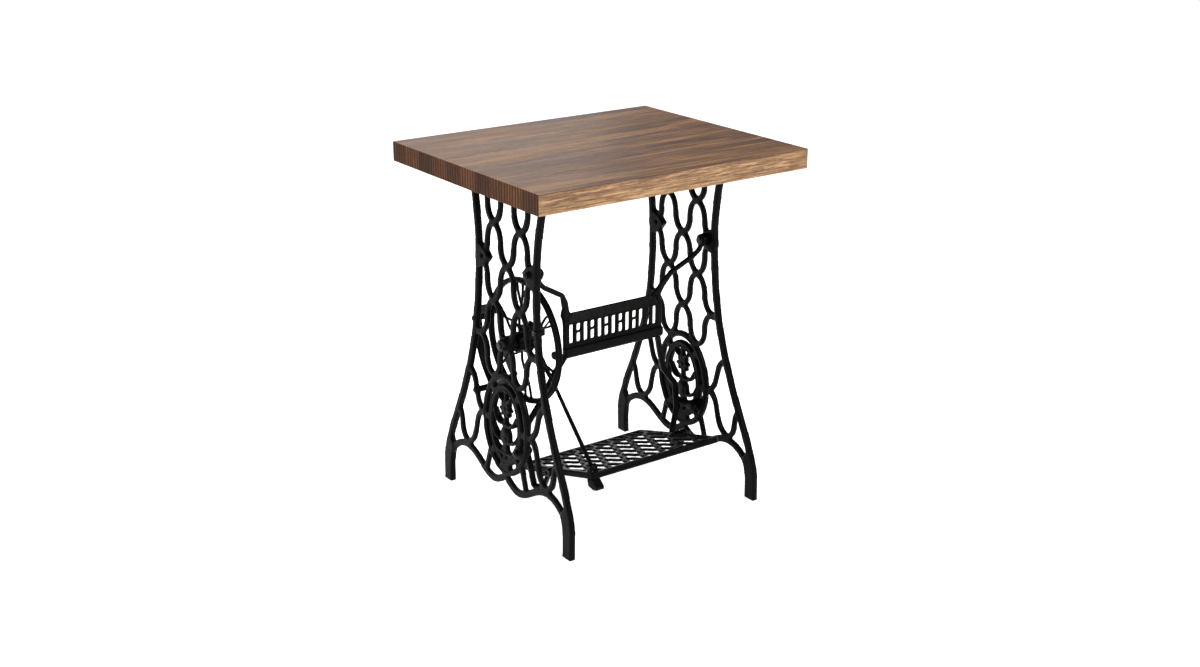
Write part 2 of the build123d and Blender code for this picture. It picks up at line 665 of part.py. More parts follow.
def pivot_screws():
    """Pointed screws through the hangers into the treadle bosses, with lock nuts."""
    screws, nuts = [], []
    for side in (-1, 1):
        screw = rod(156, PIVOT_X1 + 9, PIVOT_R, TREADLE_Y, TREADLE_Z)
        screw += rod(PIVOT_X1 + 8, PIVOT_X1 + 13, 5, TREADLE_Y, TREADLE_Z)
        screw -= Pos(PIVOT_X1 + 13, TREADLE_Y, TREADLE_Z) * Box(3, 14, 1.4)
        nut = hexagon(PIVOT_X1, PIVOT_X1 + 5, 13, TREADLE_Y, TREADLE_Z)
        nut -= rod(PIVOT_X1, PIVOT_X1 + 5, PIVOT_R, TREADLE_Y, TREADLE_Z)
        if side < 0:
            screw = mirror(screw, Plane.YZ)
            nut = mirror(nut, Plane.YZ)
        screws.append(screw)
        nuts.append(nut)
    return screws, nuts


# ---- pitman ---------------------------------------------------------------
def pitman_frame():
    """Plane on the lower joint: local x runs up the rod, local y across it."""
    y0, z0 = joint_point()
    y1, z1 = crank_point()
    length = math.hypot(y1 - y0, z1 - z0)
    along = (0, (y1 - y0) / length, (z1 - z0) / length)
    return Plane(origin=(JOINT_X, y0, z0), x_dir=along, z_dir=(1, 0, 0)), length


def along_x(plane, x, y, radius, x0, x1):
    """Round bar parallel to X at a point of the rod's own plane."""
    centre = plane.from_local_coords(Vector(x, y, 0))
    return rod(x0, x1, radius, centre.Y, centre.Z)


def pitman_pieces():
    plane, length = pitman_frame()
    shank_len = length - HEAD_R
    shank_plane = Plane(plane.from_local_coords(Vector(4 + shank_len / 2, 0, 0)), z_dir=plane.x_dir)
    shank = shank_plane * Cone(4.4, 3.4, shank_len)
    eye = along_x(plane, 0, 0, 7.0, JOINT_X - 3.6, JOINT_X + 3.6)
    head = along_x(plane, length, 0, HEAD_R, HEAD_X0, HEAD_X1)
    ears = extrude(plane.offset(HEAD_X0 - JOINT_X) * (Pos(length + 1, 0) * Rectangle(12, 38)),
                   HEAD_X1 - HEAD_X0)
    head = head + ears
    half_space = Rectangle(100 - 0.4, 120)
    below = extrude(plane.offset(-20) * (Pos(length - 50, 0) * half_space), 40)
    above = extrude(plane.offset(-20) * (Pos(length + 50, 0) * half_space), 40)
    bore = along_x(plane, length, 0, CRANK_PIN_R + BUSH_WALL, HEAD_X0 - 1, HEAD_X1 + 1)
    screws = []
    for y in (-CAP_SCREW_Y, CAP_SCREW_Y):
        low = Plane(plane.from_local_coords(Vector(length - 6, y, -JOINT_X + 153.25)),
                    z_dir=plane.x_dir)
        shaft = extrude(low * Circle(CAP_SCREW_R), 14)
        screws.append(shaft + extrude(low.offset(13) * Circle(3.1), 3))
    holes = [extrude(Plane(s.faces().sort_by(Axis.Z)[0].center(), z_dir=plane.x_dir)
                     * Circle(CAP_SCREW_R), 30) for s in screws]
    rod_body = shank + eye + ((head - bore) & below)
    rod_body -= along_x(plane, 0, 0, JOINT_PIN_R + RUN, JOINT_X - 20, JOINT_X + 20)
    cap = (head - bore) & above
    for hole in holes:
        rod_body -= hole
        cap -= hole
    bush = along_x(plane, length, 0, CRANK_PIN_R + BUSH_WALL, HEAD_X0, HEAD_X1)
    bush -= along_x(plane, length, 0, CRANK_PIN_R, HEAD_X0 - 1, HEAD_X1 + 1)
    plug = along_x(plane, length, 0, CRANK_PIN_R, HEAD_X0 - 3, HEAD_X1)
    plug += hexagon_at(plane, length, HEAD_X0 - 5, HEAD_X0)
    return rod_body, cap, screws, bush, plug


def hexagon_at(plane, x, x0, x1):
    centre = plane.from_local_coords(Vector(x, 0, 0))
    return hexagon(x0, x1, 14, centre.Y, centre.Z)


# ---- belt shifter ---------------------------------------------------------
def belt_shifter():
    """Bent-wire belt guide on a small bracket behind the rear bar of the frame."""
    wire = swept_wire(
        [(SHIFTER_X, 93.0, 419.5), (SHIFTER_X, SHIFTER_Y - 1, SHIFTER_Z),
         (SHIFTER_X, 90.0, 444.0), (SHIFTER_X, 104.0, 433.0), (SHIFTER_X, 130.0, 459.0)])
    eye = rod(SHIFTER_X - 3, SHIFTER_X + 3, 5.5, SHIFTER_Y, SHIFTER_Z)
    bore = rod(SHIFTER_X - 9, SHIFTER_X + 9, SHIFTER_PIN_R + RUN, SHIFTER_Y, SHIFTER_Z)
    lever = wire + eye - bore
    knob = Pos(SHIFTER_X, 93.5, 417.0) * Sphere(4.6) - wire
    x_end = frame_x(SHIFTER_Z) - LUG_THICK / 2 - 0.2
    x_arm = SHIFTER_X + 3.4
    arm = slab(band(Line((SHIFTER_Y - 5, SHIFTER_Z), (SHIFTER_Y + 25, SHIFTER_Z)), 13),
               x_arm, x_arm + 3)
    block = slab(Pos(SHIFTER_Y + SHIFTER_FIX, SHIFTER_Z) * Rectangle(14, 13), x_arm + 3, x_end)
    y_fix = SHIFTER_Y + SHIFTER_FIX
    bracket = arm + block - rod(x_arm - 1, x_end + 1, SHIFTER_SCREW_R, y_fix, SHIFTER_Z)
    bracket -= rod(x_arm - 1, x_arm + 4, SHIFTER_PIN_R, SHIFTER_Y, SHIFTER_Z)
    pin = rod(SHIFTER_X - 3.8, x_arm + 3, SHIFTER_PIN_R, SHIFTER_Y, SHIFTER_Z)
    pin += rod(SHIFTER_X - 6, SHIFTER_X - 3.4, 4.2, SHIFTER_Y, SHIFTER_Z)
    x_out = frame_x(SHIFTER_Z) + LUG_THICK / 2 + 0.3
    screw = rod(x_arm, x_out, SHIFTER_SCREW_R, y_fix, SHIFTER_Z)
    screw += rod(x_out, x_out + 3, 5.0, y_fix, SHIFTER_Z)
    screw -= Pos(x_out + 3, y_fix, SHIFTER_Z) * Box(2, 12, 1.2)
    return lever, knob, bracket, pin, screw


def swept_wire(points):
    path = FilletPolyline(*points, radius=2.4)
    start = Plane(origin=path @ 0, z_dir=path % 0)
    return sweep(start * Circle(1.8), path=path)


# ---- write every piece ----------------------------------------------------
save("table_top", table_top())
save("top_screws", *top_screws())
save("end_frame_wheel_side", end_frame(1))
save("end_frame_far_side", end_frame(-1))
save("cross_brace", cross_brace())
for name, group in zip(("brace_bolts", "brace_washers", "brace_nuts"), brace_fasteners()):
    save(name, *group)

save("band_wheel", band_wheel())
save("wheel_bush", wheel_bush())
save("crank_pin", crank_pin())
save("wheel_stud", wheel_stud())
for name, piece in zip(("thrust_washer", "stud_lock_washer", "stud_lock_nut"), stud_hardware()):
    save(name, piece)

save("dress_guard", dress_guard())
save("guard_screws", *guard_screws())

save("treadle_plate", treadle_plate())
save("pitman_bracket", pitman_bracket())
save("bracket_foot", bracket_foot())
save("bracket_bolt", bracket_bolt())
save("pitman_lower_pin", lower_pin())
for name, group in zip(("treadle_pivot_screws", "treadle_pivot_nuts"), pivot_screws()):
    save(name, *group)

rod_body, cap, cap_screws, bush, plug = pitman_pieces()
save("pitman_rod", rod_body)
save("pitman_cap", cap)
save("pitman_cap_screws", *cap_screws)
save("pitman_bush", bush)
save("pitman_end_nut", plug)

names = ("belt_shifter_lever", "belt_shifter_knob", "belt_shifter_bracket",
         "belt_shifter_pin", "belt_shifter_screw")
for name, piece in zip(names, belt_shifter()):
    save(name, piece)
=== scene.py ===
import json
import math

import bmesh
import bpy
import numpy as np
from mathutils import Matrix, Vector

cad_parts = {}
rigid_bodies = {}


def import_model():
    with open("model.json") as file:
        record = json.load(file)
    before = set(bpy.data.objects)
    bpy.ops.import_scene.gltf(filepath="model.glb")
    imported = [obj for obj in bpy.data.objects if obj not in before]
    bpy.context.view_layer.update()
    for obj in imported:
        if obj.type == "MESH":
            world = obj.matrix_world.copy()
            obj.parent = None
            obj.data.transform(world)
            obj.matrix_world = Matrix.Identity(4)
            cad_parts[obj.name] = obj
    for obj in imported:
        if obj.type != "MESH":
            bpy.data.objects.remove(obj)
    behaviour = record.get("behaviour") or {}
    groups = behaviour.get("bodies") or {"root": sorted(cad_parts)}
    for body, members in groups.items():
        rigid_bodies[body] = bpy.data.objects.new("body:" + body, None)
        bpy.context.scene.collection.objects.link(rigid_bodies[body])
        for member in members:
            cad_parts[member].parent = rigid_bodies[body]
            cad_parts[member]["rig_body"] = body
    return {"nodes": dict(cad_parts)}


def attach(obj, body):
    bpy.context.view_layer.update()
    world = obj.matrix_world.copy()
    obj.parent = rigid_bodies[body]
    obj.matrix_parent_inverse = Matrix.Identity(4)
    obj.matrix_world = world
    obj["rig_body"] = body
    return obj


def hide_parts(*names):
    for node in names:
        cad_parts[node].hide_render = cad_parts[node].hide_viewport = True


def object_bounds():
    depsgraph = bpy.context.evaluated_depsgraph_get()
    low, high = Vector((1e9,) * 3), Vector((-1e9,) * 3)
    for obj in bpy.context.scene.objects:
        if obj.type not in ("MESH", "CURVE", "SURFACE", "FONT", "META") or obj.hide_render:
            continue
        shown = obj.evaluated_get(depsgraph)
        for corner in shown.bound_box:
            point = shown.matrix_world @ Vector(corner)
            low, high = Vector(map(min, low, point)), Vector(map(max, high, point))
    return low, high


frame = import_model()
cad_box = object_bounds()

MM = 0.001
LEAN = math.radians(1.54)          # end frames lean inward toward the top
FRAME_X = 233.5                    # mid-plane of an end frame at the floor
TOP_X, TOP_Y = 317.5, 266.5        # half sizes of the wooden top
TOP_Z0, TOP_Z1 = 710.0, 750.0
OUTER_EASE = 0.9                   # rounding along the outside of the top
JOINT_EASE = 0.12                  # rounding where two staves meet
JOINT_TRIM = 0.15                  # share of the end rounding that a glued side takes
END_STEP, END_INSET = 0.27, 0.35   # a point partway round a stave's end
STAVE_STEPS = 24                   # divisions along a stave
END_TONES = (0.8, 1.25, 0.6, 1.05, 0.7, 1.35, 0.6, 1.0, 1.4, 0.75)    # one for each stave
WEAR_FROM, WEAR_TO = 1.5, 0.1      # rubbed rim of the top, in from its edge
SHARP_ANGLE, SMOOTH_ANGLE = math.radians(35), math.radians(32)
MEDAL_Z = 203.0
MEDAL_FACE = 5.0                   # half thickness of a medallion's rings
OVAL_BEADS = ((78, 102, 2.0), (50, 75, 1.8), (58.5, 83.5, 1.5))    # half sizes and bead radius
OVAL_STEPS = 72
ROSETTE_RISE = 34.0
PETALS, PETAL_RING = 8, 13.5
URN_BOSSES = ((-30, 11.0), (-17, 12.0))    # height about the middle, radius
URN_BARS = ((2, 13), (-60, 16))            # height about the middle, half length
LINE_STEPS = 9                             # points along a leaf's vein or an urn's bar
LEAVES = (                         # root, bend, tip (y, z about the middle) and width
    ((4, 2), (26, 4), (40, 26), 7.5),
    ((4, 50), (16, 56), (24, 66), 7.0),
    ((12, -36), (32, -30), (47, -12), 7.0),
    ((6, -60), (24, -58), (34, -52), 7.0))


# ---- materials ------------------------------------------------------------
class Nodes:
    """A material's node tree with short ways to add and link nodes."""

    def __init__(self, name):
        self.material = bpy.data.materials.new(name)
        self.material.use_nodes = True
        self.tree = self.material.node_tree
        self.shader = self.tree.nodes["Principled BSDF"]
        coord = self.add("ShaderNodeTexCoord")
        self.place = coord.outputs["Object"]

    def add(self, kind, **values):
        made = self.tree.nodes.new(kind)
        for key, value in values.items():
            setattr(made, key, value)
        return made

    def put(self, socket, value):
        if isinstance(value, bpy.types.NodeSocket):
            self.tree.links.new(value, socket)
        elif isinstance(value, tuple) and len(value) == 3 and socket.type == "RGBA":
            socket.default_value = (*value, 1.0)
        else:
            socket.default_value = value

    def stretch(self, scale, offset=(0.0, 0.0, 0.0), vector=None):
        made = self.add("ShaderNodeMapping")
        self.put(made.inputs["Vector"], vector or self.place)
        self.put(made.inputs["Scale"], scale)
        self.put(made.inputs["Location"], offset)
        return made.outputs["Vector"]

    def noise(self, vector, scale=1.0, detail=3.0, rough=0.55, distortion=0.0):
        made = self.add("ShaderNodeTexNoise")
        for key, value in (("Vector", vector), ("Scale", scale), ("Detail", detail),
                           ("Roughness", rough), ("Distortion", distortion)):
            self.put(made.inputs[key], value)
        return made.outputs["Fac"]

    def streaks(self, scale, offset, detail, rough, distortion=0.0, along=None):
        """Noise drawn out by its own scale on each axis."""
        return self.noise(self.stretch(scale, offset, along), 1, detail, rough, distortion)

    def ramp(self, value, *stops):
        """Colours blended evenly between stops of position and colour."""
        made = self.add("ShaderNodeValToRGB")
        points = made.color_ramp.elements
        while len(points) < len(stops):
            points.new(0.5)
        for point, (at, colour) in zip(points, stops):
            point.position = at
            point.color = (*colour, 1)
        self.put(made.inputs["Fac"], value)
        return made.outputs["Color"]

    def mix(self, a, b, share, blend="MIX"):
        made = self.add("ShaderNodeMix", data_type="RGBA", blend_type=blend)
        self.put(made.inputs["Factor"], share)
        self.put(made.inputs["A"], a)
        self.put(made.inputs["B"], b)
        return made.outputs["Result"]

    def math(self, operation, a, b=0.0, clamp=False):
        made = self.add("ShaderNodeMath", operation=operation, use_clamp=clamp)
        self.put(made.inputs[0], a)
        self.put(made.inputs[1], b)
        return made.outputs[0]

    def spread(self, value, low, high, out_low=0.0, out_high=1.0):
        made = self.add("ShaderNodeMapRange")
        for key, number in (("Value", value), ("From Min", low), ("From Max", high),
                            ("To Min", out_low), ("To Max", out_high)):
            self.put(made.inputs[key], number)
        return made.outputs["Result"]

    def bump(self, height, distance, strength=1.0, after=None):
        made = self.add("ShaderNodeBump")
        self.put(made.inputs["Height"], height)
        self.put(made.inputs["Distance"], distance)
        self.put(made.inputs["Strength"], strength)
        if after is not None:
            self.put(made.inputs["Normal"], after)
        return made.outputs["Normal"]

    def edges(self, low, high):
        """1 on convex edges, 0 on flats and in corners."""
        geometry = self.add("ShaderNodeNewGeometry")
        return self.spread(geometry.outputs["Pointiness"], low, high)

    def hollows(self, low, high):
        """1 in corners and hollows, 0 on flats and edges."""
        geometry = self.add("ShaderNodeNewGeometry")
        return self.spread(geometry.outputs["Pointiness"], low, high, 1.0, 0.0)

    def finish(self, **sockets):
        for key, value in sockets.items():
            self.put(self.shader.inputs[key.replace("_", " ")], value)
        return self.material


def shade(colour, factor):
    return tuple(c * factor for c in colour)


def cast_iron(name, seed, grain=1.0):
    """Black japanned casting: sandy skin, uneven gloss, dust in corners, rubbed edges."""
    n = Nodes(name)
    at = n.stretch((1, 1, 1), (seed * 1.7, seed * 0.9, seed * 1.3))
    cloud = n.noise(at, 22, 4, 0.6)
    patch = n.noise(at, 75, 3, 0.6)
    sand = n.noise(at, 900, 2, 0.7)
    pits = n.noise(at, 330, 2, 0.5)
    colour = n.ramp(cloud, (0.3, (0.0008, 0.0008, 0.0009)), (0.7, (0.0024, 0.0023, 0.0022)))
    dust = n.math("MULTIPLY", n.hollows(0.43, 0.492), n.spread(patch, 0.35, 0.7), True)
    colour = n.mix(colour, (0.008, 0.007, 0.006), n.math("MULTIPLY", dust, 0.5))
    rub = n.math("MULTIPLY", n.edges(0.515, 0.6), n.spread(patch, 0.42, 0.62, 0.15, 1.0), True)
    colour = n.mix(colour, (0.011, 0.0105, 0.0100), n.math("MULTIPLY", rub, 0.6))
    rough = n.spread(patch, 0.3, 0.7, 0.27, 0.42)
    rough = n.math("ADD", rough, n.math("MULTIPLY", dust, 0.25), True)
    skin = n.math("ADD", n.math("MULTIPLY", sand, 0.45), n.math("MULTIPLY", pits, 0.8))
    normal = n.bump(skin, 0.00035 * grain, 0.55)
    normal = n.bump(patch, 0.0009 * grain, 0.4, normal)
    return n.finish(Base_Color=colour, Roughness=rough, Normal=normal, Specular_IOR_Level=0.038)


def dark_steel(name, seed, tint):
    """Oiled, blackened steel with turning marks and brighter rubbed corners."""
    n = Nodes(name)
    at = n.stretch((1, 1, 1), (seed * 2.1, seed, seed * 0.7))
    patch = n.noise(at, 160, 3, 0.6)
    lines = n.streaks((2600, 260, 260), (seed, 0, 0), 1, 0.5)
    rub = n.math("MULTIPLY", n.edges(0.52, 0.62), n.spread(patch, 0.35, 0.6, 0.2, 1.0), True)
    colour = n.mix(n.mix(tint, shade(tint, 0.45), patch), shade(tint, 4.0), rub)
    rough = n.spread(patch, 0.3, 0.7, 0.3, 0.5)
    normal = n.bump(n.math("ADD", lines, patch), 0.00008, 0.6)
    return n.finish(Base_Color=colour, Roughness=rough, Metallic=0.85, Normal=normal)


def dull_brass(name, seed):
    """Bearing brass gone brown with oil."""
    n = Nodes(name)
    at = n.stretch((1, 1, 1), (seed, seed * 3.0, 0))
    stain = n.noise(at, 240, 4, 0.65)
    colour = n.ramp(stain, (0.35, (0.07, 0.045, 0.02)), (0.65, (0.34, 0.23, 0.09)))
    rough = n.spread(stain, 0.3, 0.7, 0.5, 0.3)
    normal = n.bump(n.noise(at, 1500, 1), 0.00006, 0.5)
    return n.finish(Base_Color=colour, Roughness=rough, Metallic=0.9, Normal=normal)


# ---- mesh helpers ---------------------------------------------------------
def link_object(name, data):
    made = bpy.data.objects.new(name, data)
    bpy.context.scene.collection.objects.link(made)
    return made


def mesh_from(bm, name):
    """Mesh made of a finished bmesh, which is freed."""
    mesh = bpy.data.meshes.new(name)
    bm.to_mesh(mesh)
    bm.free()
    return mesh


def smooth(mesh):
    for polygon in mesh.polygons:
        polygon.use_smooth = True


def join_rings(bm, rings):
    """Faces between each ring of points and the next one."""
    for one, two in zip(rings, rings[1:]):
        for k in range(len(one)):
            j = (k + 1) % len(one)
            bm.faces.new((one[k], one[j], two[j], two[k]))


def new_object(name, mesh, body, material):
    made = link_object(name, mesh)
    mesh.materials.clear()
    mesh.materials.append(material)
    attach(made, body)
    return made


def merged_mesh(node, name):
    """Copy of a CAD node's mesh with its split corners joined."""
    mesh = frame["nodes"][node].data.copy()
    mesh.name = name
    bm = bmesh.new()
    bm.from_mesh(mesh)
    bmesh.ops.remove_doubles(bm, verts=bm.verts, dist=2e-6)
    bm.to_mesh(mesh)
    bm.free()
    if mesh.has_custom_normals:
        mesh.normals_split_custom_set([(0, 0, 0)] * len(mesh.loops))
    return mesh


def relax(mesh, rounds, push):
    """Rounds every corner a little, then pushes the skin out, held inside the CAD's box."""
    count = len(mesh.vertices)
    place = np.zeros(count * 3)
    mesh.vertices.foreach_get("co", place)
    place = place.reshape(-1, 3)
    ends = np.zeros(len(mesh.edges) * 2, np.int64)
    mesh.edges.foreach_get("vertices", ends)
    a, b = ends[0::2], ends[1::2]
    degree = np.bincount(np.concatenate([a, b]), minlength=count).clip(1)
    for _ in range(rounds):
        total = np.stack([np.bincount(a, place[b, k], count) + np.bincount(b, place[a, k], count)
                          for k in range(3)], 1)
        place += 0.5 * (total / degree[:, None] - place)
    mesh.vertices.foreach_set("co", place.ravel())
    mesh.update()
    normal = np.zeros(count * 3)
    mesh.vertex_normals.foreach_get("vector", normal)
    place += push * MM * normal.reshape(-1, 3)
    low, high = np.array(cad_box[0]), np.array(cad_box[1])
    place = np.clip(place, low, high)
    mesh.vertices.foreach_set("co", place.ravel())
    mesh.update()


def casting(name, node, voxel, rounds, push):
    """A CAD node's shape as a casting with rounded edges and filled corners."""
    body = frame["nodes"][node]["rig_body"]
    mesh = merged_mesh(node, name)
    material = cast_iron(name + "_iron", len(name) + voxel)
    made = new_object(name, mesh, body, material)
    remesh = made.modifiers.new("skin", "REMESH")
    remesh.mode = "VOXEL"
    remesh.voxel_size = voxel * MM * 1.0
    remeshed = made.evaluated_get(bpy.context.evaluated_depsgraph_get())
    shaped = bpy.data.meshes.new_from_object(remeshed)
    made.modifiers.clear()
    made.data = shaped
    relax(shaped, rounds, push)
    shaped.materials.clear()
    shaped.materials.append(material)
    smooth(shaped)
    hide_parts(node)


def fitting(name, node, material, ease=0.35):
    """A turned or sawn small piece with its sharp corners eased."""
    body = frame["nodes"][node]["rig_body"]
    mesh = merged_mesh(node, name)
    bm = bmesh.new()
    bm.from_mesh(mesh)
    sharp = [e for e in bm.edges if len(e.link_faces) == 2
             and e.calc_face_angle(0.0) > SHARP_ANGLE]
    bmesh.ops.bevel(bm, geom=sharp, offset=ease * MM, offset_type="OFFSET", segments=2,
                    profile=0.6, affect="EDGES", clamp_overlap=True)
    bm.to_mesh(mesh)
    bm.free()
    smooth(mesh)
    mesh.set_sharp_from_angle(angle=SMOOTH_ANGLE)
    made = new_object(name, mesh, body, material)
    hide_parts(node)


# ---- wooden top -----------------------------------------------------------
def stave_wood(name, seed, tone, end_tone):
    """One glued-up board: streaky long grain, open pores, end grain in upright lines."""
    n = Nodes(name)
    warp = n.streaks((1.2, 5, 5), (3.1, 0, 0), 2, 0.5)
    lift = n.add("ShaderNodeCombineXYZ")
    n.put(lift.inputs["Y"], n.math("MULTIPLY", warp, 0.05))
    bent = n.add("ShaderNodeVectorMath", operation="ADD")
    n.put(bent.inputs[0], n.place)
    n.put(bent.inputs[1], lift.outputs["Vector"])
    flow = bent.outputs["Vector"]
    broad = n.streaks((1.3, 20, 20), (5.3, 0.2, 0), 4, 0.6, 0.25, along=flow)
    streak = n.streaks((3.6, 120, 120), (1.9, 0, 0), 4, 0.68, along=flow)
    narrow = n.streaks((9, 330, 330), (4.7, 0, 0), 3, 0.65, along=flow)
    fibre = n.streaks((24, 900, 900), (2.3, 0, 0), 3, 0.6, along=flow)
    pores = n.streaks((55, 1500, 1500), (7.7, 0, 0), 1, 0.5, along=flow)
    dark = shade((0.026, 0.0092, 0.0034), tone)
    middle = shade((0.080, 0.0345, 0.0130), tone)
    pale = shade((0.180, 0.0900, 0.0340), tone)
    grain = n.math("ADD", n.math("MULTIPLY", broad, 0.4), n.math("MULTIPLY", streak, 0.6))
    colour = n.ramp(grain, (0.41, dark), (0.49, middle), (0.57, pale))
    colour = n.mix(colour, dark, n.spread(narrow, 0.5, 0.6, 0.0, 0.85))
    colour = n.mix(colour, pale, n.spread(narrow, 0.44, 0.34, 0.0, 0.6))
    colour = n.mix(colour, dark, n.spread(fibre, 0.52, 0.75, 0.0, 0.5))
    colour = n.mix(colour, shade(dark, 0.4), n.spread(pores, 0.62, 0.72, 0.0, 0.6))

    facing = n.add("ShaderNodeSeparateXYZ")
    n.put(facing.inputs[0], n.add("ShaderNodeNewGeometry").outputs["True Normal"])
    end = n.spread(n.math("ABSOLUTE", facing.outputs["X"]), 0.6, 0.8)
    arcs = n.add("ShaderNodeTexWave", wave_type="BANDS", bands_direction="Y")
    n.put(arcs.inputs["Vector"], n.stretch((0, 1, 0.3), (0, seed * 0.37, seed * 0.21)))
    for key, value in (("Scale", 34.0), ("Distortion", 2.6), ("Detail", 3.0), ("Detail Scale", 1.4)):
        n.put(arcs.inputs[key], value)
    rays = n.streaks((1, 380, 16), (0, seed * 0.71, seed), 3, 0.6)
    deep = shade((0.034, 0.0115, 0.0036), end_tone)
    light = shade((0.120, 0.0450, 0.0140), end_tone)
    end_colour = n.ramp(arcs.outputs["Fac"], (0.1, deep), (0.9, light))
    end_colour = n.mix(end_colour, deep, n.spread(rays, 0.45, 0.62, 0.0, 0.7))
    colour = n.mix(colour, end_colour, end)
    place = n.add("ShaderNodeSeparateXYZ")
    n.put(place.inputs[0], n.place)
    rims = [n.spread(n.math("ABSOLUTE", place.outputs[axis]), (half - WEAR_FROM) * MM, (half - WEAR_TO) * MM)
            for axis, half in (("X", TOP_X), ("Y", TOP_Y))]
    worn = n.math("MULTIPLY", n.math("MAXIMUM", *rims), n.math("SUBTRACT", 1.0, end))
    worn = n.math("MULTIPLY", worn, n.spread(streak, 0.35, 0.6, 0.2, 0.8), True)
    colour = n.mix(colour, shade(pale, 1.15), worn)

    rough = n.spread(streak, 0.35, 0.65, 0.30, 0.44)
    rough = n.math("ADD", rough, n.math("MULTIPLY", end, 0.4), True)
    relief = n.math("SUBTRACT", n.math("MULTIPLY", fibre, 0.5), n.spread(pores, 0.6, 0.72))
    normal = n.bump(relief, 0.00014, 0.6)
    normal = n.bump(streak, 0.0005, 0.3, normal)
    return n.finish(Base_Color=colour, Roughness=rough, Normal=normal, Specular_IOR_Level=0.21)


def sawn_edge_wood(name, seed):
    """Paler long edge of the top: short dark fibres, a dark line above and a golden one below."""
    n = Nodes(name)
    shift = (seed * 0.41, 0.0, seed * 0.33)
    broad = n.streaks((2.4, 10, 70), shift, 4, 0.6, 0.3)
    grainy = n.streaks((15, 50, 290), shift, 4, 0.7)
    fibre = n.streaks((38, 50, 700), shift, 4, 0.7)
    dashes = n.streaks((60, 50, 1100), shift, 2, 0.55)
    colour = n.ramp(broad, (0.3, (0.135, 0.063, 0.025)), (0.7, (0.245, 0.132, 0.056)))
    colour = n.mix(colour, (0.42, 0.255, 0.125), n.spread(grainy, 0.51, 0.6, 0.0, 0.85))
    colour = n.mix(colour, (0.080, 0.036, 0.014), n.spread(grainy, 0.47, 0.38, 0.0, 0.85))
    colour = n.mix(colour, (0.42, 0.26, 0.13), n.spread(fibre, 0.52, 0.66, 0.0, 0.5))
    colour = n.mix(colour, (0.075, 0.032, 0.012), n.spread(dashes, 0.56, 0.68, 0.0, 0.75))
    height = n.add("ShaderNodeSeparateXYZ")
    n.put(height.inputs[0], n.place)
    wander = n.streaks((38, 1, 1), shift, 3, 0.6)
    line = n.math("ADD", height.outputs["Z"], n.math("MULTIPLY", wander, 0.0026))
    upper = n.spread(line, (TOP_Z1 - 1.0) * MM, (TOP_Z1 - 0.2) * MM)
    lower = n.spread(line, (TOP_Z0 + 3.6) * MM, (TOP_Z0 + 2.2) * MM)
    colour = n.mix(colour, (0.045, 0.015, 0.006), n.math("MULTIPLY", upper, 0.9))
    colour = n.mix(colour, (0.36, 0.19, 0.05), n.math("MULTIPLY", lower, 0.7))
    relief = n.math("SUBTRACT", n.math("MULTIPLY", fibre, 0.6), n.spread(dashes, 0.56, 0.68))
    return n.finish(Base_Color=colour, Roughness=n.spread(fibre, 0.3, 0.7, 0.62, 0.48),
                    Normal=n.bump(relief, 0.00025, 0.7), Specular_IOR_Level=0.35)


def rounded_section(y0, y1, z0, z1, left, right):
    """Board section in Y and Z, with one corner radius at y0 and another at y1."""
    corners = ((y1 - right, z1 - right, right, 0), (y0 + left, z1 - left, left, 90),
               (y0 + left, z0 + left, left, 180), (y1 - right, z0 + right, right, 270))
    points = []
    for cy, cz, radius, start in corners:
        for k in range(4):
            a = math.radians(start + 30 * k)
            points.append((cy + radius * math.cos(a), cz + radius * math.sin(a)))
    return points


def board(name, y0, y1, left, right, material, edge_material, edge_side):
    """A stave with eased long corners and eased ends, finely divided along its length."""
    ease = OUTER_EASE
    stations = [(-TOP_X, ease), (-TOP_X + END_STEP, END_INSET), (-TOP_X + ease, 0.0)]
    for k in range(1, STAVE_STEPS):
        stations.append((-TOP_X + ease + k * (2 * TOP_X - 2 * ease) / STAVE_STEPS, 0.0))
    stations += [(TOP_X - ease, 0.0), (TOP_X - END_STEP, END_INSET), (TOP_X, ease)]
    bm = bmesh.new()
    rings = []
    for x, inset in stations:
        trim_left = inset if left > JOINT_EASE else inset * JOINT_TRIM
        trim_right = inset if right > JOINT_EASE else inset * JOINT_TRIM
        section = rounded_section(y0 + trim_left, y1 - trim_right, TOP_Z0 + inset, TOP_Z1 - inset,
                                  left, right)
        rings.append([bm.verts.new((x * MM, y * MM, z * MM)) for y, z in section])
    join_rings(bm, rings)
    bm.faces.new(rings[0])
    bm.faces.new(list(reversed(rings[-1])))
    bmesh.ops.recalc_face_normals(bm, faces=bm.faces)
    mesh = mesh_from(bm, name)
    made = new_object(name, mesh, "stand", material)
    mesh.materials.append(edge_material)
    for polygon in mesh.polygons:
        polygon.use_smooth = max(abs(v) for v in polygon.normal) < 0.9999
        if edge_side and polygon.normal.y * edge_side > 0.75:
            polygon.material_index = 1
    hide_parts("table_top")


def wooden_top():
    """The one wooden top, shown as glued staves side by side."""
    edge = sawn_edge_wood("sawn_edge", 3)
    width = 2 * TOP_Y / len(END_TONES)
    last = len(END_TONES) - 1
    for k, end_tone in enumerate(END_TONES):
        y0, y1 = -TOP_Y + k * width, -TOP_Y + (k + 1) * width
        left = OUTER_EASE if k == 0 else JOINT_EASE
        right = OUTER_EASE if k == last else JOINT_EASE
        side = -1 if k == 0 else (1 if k == last else 0)
        wood = stave_wood(f"stave_wood_{k + 1:02d}", k + 1, 0.94 + 0.06 * end_tone, end_tone)
        board(f"top_stave_{k + 1:02d}", y0, y1, left, right, wood, edge, side)


# ---- relief on the castings -----------------------------------------------
def frame_point(side, x, y, z):
    """A point given in an upright end frame, put in that frame's leaning place."""
    return Vector(((side * FRAME_X + x * math.cos(LEAN) - side * z * math.sin(LEAN)) * MM,
                   y * MM,
                   (side * x * math.sin(LEAN) + z * math.cos(LEAN)) * MM))


